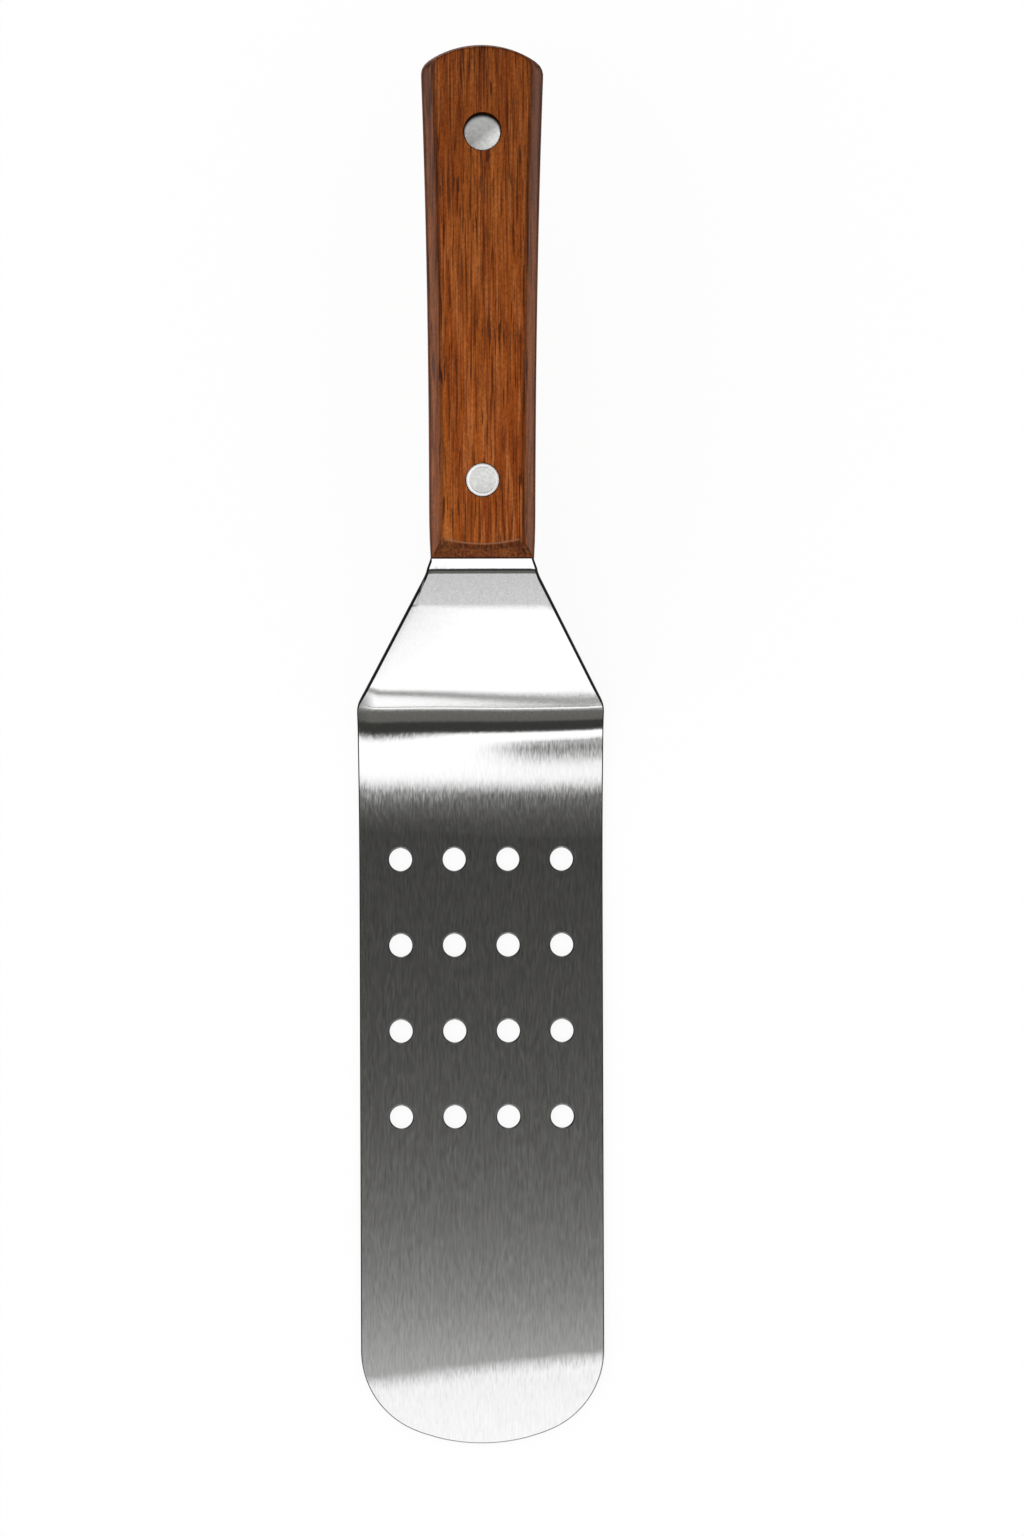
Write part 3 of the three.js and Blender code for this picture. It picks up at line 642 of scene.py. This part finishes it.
    # its outer edges are rounded
    editMode("EDGE")
    bpy.ops.mesh.select_all(action="DESELECT")
    bpy.ops.mesh.edges_select_sharp(sharpness=math.radians(size["sharpAngle"]))
    bpy.ops.object.mode_set(mode="OBJECT")
    weights = piece.data.attributes.new("bevel_weight_edge", "FLOAT", "EDGE")
    rounder, roundest = [size["shoulderAt"] + distance for distance in size["neckShareFrom"]]
    for edge in piece.data.edges:
        if edge.select:
            y = (piece.data.vertices[edge.vertices[0]].co.y - tip.y) / mm
            rise = min(max((y - rounder) / (roundest - rounder), 0), 1)
            share = size["bladeShare"] + (1 - size["bladeShare"]) * rise
            weights.data[edge.index].value = share if y < frontAt else size["tangShare"]
    useModifier(piece, "BEVEL", width=size["edgeRound"] * mm, segments=4, limit_method="WEIGHT",
                use_clamp_overlap=False, loop_slide=False)

    # perforations with rounded rims and rivet holes are punched through
    rim = size["edgeRound"] * size["bladeShare"]
    hole, thick = size["holeDiameter"] / 2, size["thickness"]
    curve = [(hole + rim - rim * math.cos(math.radians(turn)), rim - rim * math.sin(math.radians(turn)))
             for turn in (67.5, 45, 22.5, 0)]
    over, skin = size["overrun"], 0.002  # the cutter's rims stand just clear of the sheet
    outline = [(hole + rim, over), (hole + rim, thick + skin)]
    outline += [(radius, thick - deep) for radius, deep in curve]
    outline += [(radius, deep) for radius, deep in curve[::-1]]
    outline += [(hole + rim, -skin), (hole + rim, -over)]
    cutters = []
    for row in range(4):
        for column in range(4):
            spot = (size["columnPitch"] * (column - 1.5), size["firstRow"] + size["rowPitch"] * row)
            cutter = turnProfile("punch", outline, size["holeSides"])
            cutter.location = (spot[0] * mm, tip.y + spot[1] * mm, 0)
            cutters.append(cutter)
    for rivet in rivets:
        radius = rivets[rivet]["sleeve"] / 2 + rivets[rivet]["gap"]
        cutter = turnProfile("punch", [(radius, over), (radius, -over)], size["rivetSides"])
        spot = Vector((0, rivets[rivet]["at"] * mm, 0))
        cutter.matrix_world = Matrix.Translation(handleFront) @ handleTurn @ Matrix.Translation(spot)
        cutters.append(cutter)
    startFresh()
    for cutter in cutters:
        cutter.select_set(True)
    bpy.context.view_layer.objects.active = cutters[0]
    bpy.ops.object.join()
    punch = bpy.context.object
    startFresh()
    useModifier(piece, "BOOLEAN", object=punch, operation="DIFFERENCE", solver="MANIFOLD")
    bpy.data.objects.remove(punch)
    startFresh()
    piece.select_set(True)
    bpy.context.view_layer.objects.active = piece
    bpy.ops.object.shade_smooth()
    useModifier(piece, "WEIGHTED_NORMAL", mode="FACE_AREA", weight=50, keep_sharp=False)
    layer = piece.data.uv_layers.new(name="brush")
    for loop in piece.data.loops:  # U runs across the blade, so highlights smear across the scratches
        co = piece.data.vertices[loop.vertex_index].co
        layer.data[loop.index].uv = (co.x + 0.3 * co.z, co.y + co.z)
    return finishPiece(piece, "blade", steel, None)


# rivets: a head with a sleeve in front, a head with a pin behind
rivets = {
    "lower": {"at": 20.4, "head": 8.3, "hole": 8.7, "low": 0.0, "sink": 0.0, "thick": 1.6, "rim": 0.75,
              "rimDrop": 0.3, "dome": 0.04, "tilt": 0.0, "sleeve": 5.5, "pin": 3.4, "pinShort": 0.8,
              "gap": 0.3},
    "upper": {"at": 107.3, "head": 9.05, "hole": 9.55, "low": 0.2, "sink": 1.2, "thick": 1.6, "rim": 0.22,
              "rimDrop": 0.08, "dome": 0.1, "tilt": 3.0, "sleeve": 5.5, "pin": 3.4, "pinShort": 0.8,
              "gap": 0.3},
}


def makeRivet(key):
    size = rivets[key]
    top, head = faceHeight - size["sink"], size["head"] / 2
    seat = top - size["thick"]
    flat, brow = head - size["rim"], top - size["dome"]
    face = [(flat * share, top - size["dome"] * share ** 2) for share in (0.15, 0.4, 0.6, 0.8, 0.92, 1.0)]
    face += [(flat + 0.06, brow - 0.015), (head - 0.1, brow - size["rimDrop"]),
             (head, brow - size["rimDrop"] - 0.12), (head, seat)]
    sleeve, bore, pin = size["sleeve"] / 2, size["pin"] / 2 + 0.1, size["pin"] / 2
    shapes = {
        "sleeve": face + [(sleeve, seat), (sleeve, size["gap"] - seat), (bore, size["gap"] - seat),
                          (bore, seat)],
        "pin": face + [(pin, seat), (pin, size["pinShort"] - seat)],
    }
    spot = Matrix.Translation((0, (size["at"] - size["low"]) * mm, 0))  # the upper rivet sits low in its hole
    for part, profile in shapes.items():
        piece = turnProfile("rivet_" + key + "_" + part, profile)
        for vertex in piece.data.vertices:  # the head's face leans back a little
            if part == "sleeve" and vertex.co.z > (brow - 0.01) * mm:
                vertex.co.z += vertex.co.y * math.tan(math.radians(size["tilt"]))
        turnOver = Matrix.Rotation(math.pi, 4, "Y") if part == "pin" else Matrix.Identity(4)
        piece.matrix_world = Matrix.Translation(handleFront) @ handleTurn @ spot @ turnOver
        finishPiece(piece, key + "_rivet_" + part, aluminium)


# scales: the handle's outline lofted up, drawn in over the bevel, then drilled
def gripRing(height, inset):
    size = handle
    front, smile = size["frontBevel"] * inset, size["smile"] * min(inset, 1)  # the front bevel sags
    rise = min(max((height - faceHeight) / size["buttRim"] + 1, 0), 1)
    butt = size["buttRim"] * (1 - math.sqrt(1 - rise * rise)) + 0.3 * max(inset - 1, 0)
    side, end = size["sideBevel"] * inset, size["length"] - butt
    corner = front + smile
    middle = (corner + end) / 2
    steps = [corner + (middle - corner) * step / size["sideSteps"] for step in range(size["sideSteps"])]
    turns = [math.radians(90 * step / size["crownSteps"]) for step in range(size["crownSteps"] + 1)]
    steps += [middle + (end - middle) * math.sin(turn) for turn in turns]
    right = [(gripHalf(at, side, butt), at) for at in steps]
    right[-1] = (0.0, end)
    across = gripHalf(corner, side, butt)
    shares = [step / size["frontSteps"] for step in range(size["frontSteps"])]
    right = [(across * share, front + smile * share ** 2) for share in shares] + right
    left = [(-x, at) for x, at in right[-2:0:-1]]
    return [Vector((x * mm, at * mm, height * mm)) for x, at in right + left]


def bevelProfile():  # (inset share, height) pairs up the scale's side, corners rounded
    size = handle
    low = blade["thickness"] / 2 + size["glueLine"]
    bevelStart = faceHeight - size["bevelDepth"]
    reach = size["edgeRound"]
    slant = math.hypot(size["bevelDepth"], size["sideBevel"])
    corners = [((0, bevelStart - reach), (0, bevelStart),
                (reach / slant, bevelStart + reach / slant * size["bevelDepth"])),
               ((1 - reach / slant, faceHeight - reach / slant * size["bevelDepth"]), (1, faceHeight),
                (1 + reach / size["sideBevel"], faceHeight))]
    profile = [(0.0, low)]
    for before, corner, after in corners:
        for step in range(size["roundSteps"] + 1):
            t = step / size["roundSteps"]
            a, b, c = (1 - t) ** 2, 2 * t * (1 - t), t * t
            profile.append(tuple(a * p + b * q + c * r for p, q, r in zip(before, corner, after)))
    profile.append((profile[-1][0] + 0.1, faceHeight))
    return profile


def makeScale(name, node, turnOver):
    rings = [gripRing(height, inset) for inset, height in bevelProfile()]
    startFresh()
    bpy.ops.mesh.primitive_circle_add(vertices=len(rings[0]), radius=mm, fill_type="NGON")
    piece = bpy.context.object
    piece.name = name
    places = {index: index for index in range(len(rings[0]))}  # each vertex's place in its ring
    for index, place in places.items():
        piece.data.vertices[index].co = rings[0][place]
    for ring in rings[1:]:
        editMode("FACE")
        if ring is rings[1]:
            bpy.ops.mesh.select_all(action="SELECT")
        bpy.ops.mesh.extrude_region_move(TRANSFORM_OT_translate={"value": (0, 0, mm)})
        bpy.ops.object.mode_set(mode="OBJECT")
        ends = [sorted(edge.vertices) for edge in piece.data.edges]
        fresh = len(piece.data.vertices) - len(ring)
        places = {high: places[low] for low, high in ends if low in places and high >= fresh}
        for index, place in places.items():
            piece.data.vertices[index].co = ring[place]
    editMode("FACE")
    bpy.ops.mesh.select_all(action="SELECT")
    bpy.ops.mesh.normals_make_consistent(inside=False)
    bpy.ops.object.mode_set(mode="OBJECT")
    for size in rivets.values():
        sleeve, head = size["sleeve"] / 2 + size["gap"], size["hole"] / 2
        seat = faceHeight - size["sink"] - size["thick"] - size["gap"]
        drill = turnProfile("drill", [(head, faceHeight + 2), (head, seat), (sleeve, seat), (sleeve, 0)])
        drill.location = (0, size["at"] * mm, 0)
        startFresh()
        useModifier(piece, "BOOLEAN", object=drill, operation="DIFFERENCE", solver="MANIFOLD")
        bpy.data.objects.remove(drill)
    piece.select_set(True)
    bpy.context.view_layer.objects.active = piece
    editMode("FACE")
    bpy.ops.mesh.select_all(action="DESELECT")
    bpy.ops.object.mode_set(mode="OBJECT")
    for face in piece.data.polygons:
        face.select = abs(face.normal.z) > 0.99999
    editMode("FACE")
    bpy.ops.mesh.dissolve_limited(angle_limit=math.radians(0.2))
    bpy.ops.object.mode_set(mode="OBJECT")
    turn = Matrix.Rotation(math.pi, 4, "Y") if turnOver else Matrix.Identity(4)
    piece.matrix_world = Matrix.Translation(handleFront) @ handleTurn @ turn
    return finishPiece(piece, node, wood, 35)


steel, wood, aluminium = brushedStainless(), stainedHardwood(), groundAluminium()
print("materials made")
makeBlade()
makeScale("front_scale_wood", "front_scale", False)
makeScale("rear_scale_wood", "rear_scale", True)
for key in rivets:
    makeRivet(key)

# stage: a white floor that keeps a faint shadow
stage = {"floorSize": 8.0, "floorDrop": 0.2, "floorColour": "#fcfcfc", "shadowShare": 0.1}


def makeFloor():
    startFresh()
    bpy.ops.mesh.primitive_plane_add(size=stage["floorSize"], location=(0, 0, -stage["floorDrop"] * mm))
    floor = bpy.context.object
    floor.name = "floor"
    bpy.ops.object.transform_apply(location=True)
    material, tree, shader, output = newMaterial("white paper floor")
    shader.inputs["Base Color"].default_value = linear(stage["floorColour"])
    shader.inputs["Roughness"].default_value = 1
    shader.inputs["Specular IOR Level"].default_value = 0
    glow = addNode(tree, "ShaderNodeEmission", {"Color": (1, 1, 1, 1), "Strength": 1.0})
    path = addNode(tree, "ShaderNodeLightPath")
    seen = path.outputs["Is Camera Ray"]
    for ray in ("Is Glossy Ray", "Is Transmission Ray"):
        seen = addNode(tree, "ShaderNodeMath", {0: seen, 1: path.outputs[ray]},
                       operation="MAXIMUM").outputs[0]
    share = addNode(tree, "ShaderNodeMath", {0: seen, 1: 1 - stage["shadowShare"]}, operation="MULTIPLY")
    mixed = addNode(tree, "ShaderNodeMixShader",
                    {0: share.outputs[0], 1: shader.outputs[0], 2: glow.outputs[0]})
    tree.links.new(mixed.outputs[0], output.inputs["Surface"])
    floor.data.materials.append(material)


makeFloor()

# light: a white room for what is dull, and banded studio panels over the blade for what shines
studio = {
    "roomLevel": (1.45, 0.55),  # the room is brighter on the left
    "panelScale": 2.5, "dimTint": (1, 0.985, 0.91), "dimBelow": 0.3,  # dim parts of the room are warm
    "leftCard": (0.54, 0.505, 0.46), "rightCard": (0.85, 0.88, 0.88), "cardFrom": (0.55, 0.8),
    # (degrees from straight up towards the blade's tip, brightness)
    "bands": [(-180, 0.9), (-100, 0.9), (-85, 0.45), (-50, 0.2), (-6, 0.058), (2.2, 0.058), (4.1, 0.075),
              (5.4, 0.11), (6.4, 0.155), (7.1, 0.2), (7.6, 0.3), (8.8, 1.3), (9.8, 1.6), (11.5, 1.65),
              (12.8, 1.8), (19, 1.8), (20.5, 1.0), (22.5, 0.07), (25, 0.045), (42, 0.045), (46, 0.17),
              (68.5, 0.2), (70, 0.68), (72.2, 0.8), (73.7, 1.6), (76.5, 1.85), (79.4, 1.9), (80.5, 0.12),
              (82.8, 0.25), (84, 1.6), (90, 1.9), (93.5, 0.35)],
}


def makeWorld():
    world = bpy.data.worlds.new("white studio")
    bpy.context.scene.world = world
    world.use_nodes = True
    tree = world.node_tree
    tree.nodes.clear()
    direction = addNode(tree, "ShaderNodeSeparateXYZ",
                        {0: addNode(tree, "ShaderNodeTexCoord").outputs["Generated"]})
    ahead = addNode(tree, "ShaderNodeMath", {0: direction.outputs["Y"], 1: -1.0}, operation="MULTIPLY")
    angle = addNode(tree, "ShaderNodeMath", {0: ahead.outputs[0], 1: direction.outputs["Z"]},
                    operation="ARCTAN2")
    share = addNode(tree, "ShaderNodeMapRange", {"Value": angle.outputs[0], **between((-1, 1), math.pi)})
    stops = []
    for degrees, level in studio["bands"]:
        tint = studio["dimTint"] if level < studio["dimBelow"] else (1, 1, 1)
        stops.append(((degrees + 180) / 360, [level / studio["panelScale"] * part for part in tint] + [1]))
    bands = setRamp(addNode(tree, "ShaderNodeValToRGB", {"Fac": share.outputs[0]}), stops).outputs["Color"]
    for key, sign in (("leftCard", -1), ("rightCard", 1)):  # cards at both sides, for the bevels
        card = [part / studio["panelScale"] for part in studio[key]] + [1]
        reach = addNode(tree, "ShaderNodeMapRange",
                        {"Value": direction.outputs["X"], **between(studio["cardFrom"], sign)})
        bands = addNode(tree, "ShaderNodeMix", {"Factor": reach.outputs[0], 6: bands, 7: card},
                        data_type="RGBA").outputs[2]
    panels = addNode(tree, "ShaderNodeBackground", {"Color": bands, "Strength": studio["panelScale"]})
    room = addNode(tree, "ShaderNodeMapRange",
                   {"Value": direction.outputs["X"], "From Min": -1.0,
                    "To Min": studio["roomLevel"][0], "To Max": studio["roomLevel"][1]})
    room = addNode(tree, "ShaderNodeBackground", {"Color": (1, 1, 1, 1), "Strength": room.outputs[0]})
    white = addNode(tree, "ShaderNodeBackground", {"Color": (1, 1, 1, 1), "Strength": 1.0})
    path = addNode(tree, "ShaderNodeLightPath")
    lit = addNode(tree, "ShaderNodeMixShader", {0: path.outputs["Is Glossy Ray"], 1: room.outputs[0],
                                                2: panels.outputs[0]})
    shown = addNode(tree, "ShaderNodeMixShader", {0: path.outputs["Is Camera Ray"], 1: lit.outputs[0],
                                                  2: white.outputs[0]})
    output = addNode(tree, "ShaderNodeOutputWorld")
    tree.links.new(shown.outputs[0], output.inputs["Surface"])


makeWorld()

# camera: straight above, where the photograph was taken from
camera = {"height": 1200, "tipRow": 1443.5, "axisColumn": 480.6, "mmPerPixel": 0.2613, "roll": -0.2,
          "aside": -20, "imageWidth": 1024, "imageHeight": 1536, "sensor": 36}


def makeCamera():
    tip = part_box("blade")[0]
    data = bpy.data.cameras.new("camera")
    data.sensor_width = camera["sensor"]
    data.lens = camera["sensor"] * camera["height"] / (camera["imageHeight"] * camera["mmPerPixel"])
    eye = bpy.data.objects.new("camera", data)
    bpy.context.scene.collection.objects.link(eye)
    across = (camera["imageWidth"] / 2 - camera["axisColumn"]) * camera["mmPerPixel"]
    along = (camera["tipRow"] - camera["imageHeight"] / 2) * camera["mmPerPixel"]
    eye.location = (camera["aside"] * mm, tip.y + along * mm, camera["height"] * mm)
    aim = math.atan2(camera["aside"] - across, camera["height"])  # from a little to the left of the object
    eye.rotation_euler = (0, aim, math.radians(camera["roll"]))
    bpy.context.scene.camera = eye


makeCamera()
bpy.context.scene.view_settings.view_transform = "Standard"
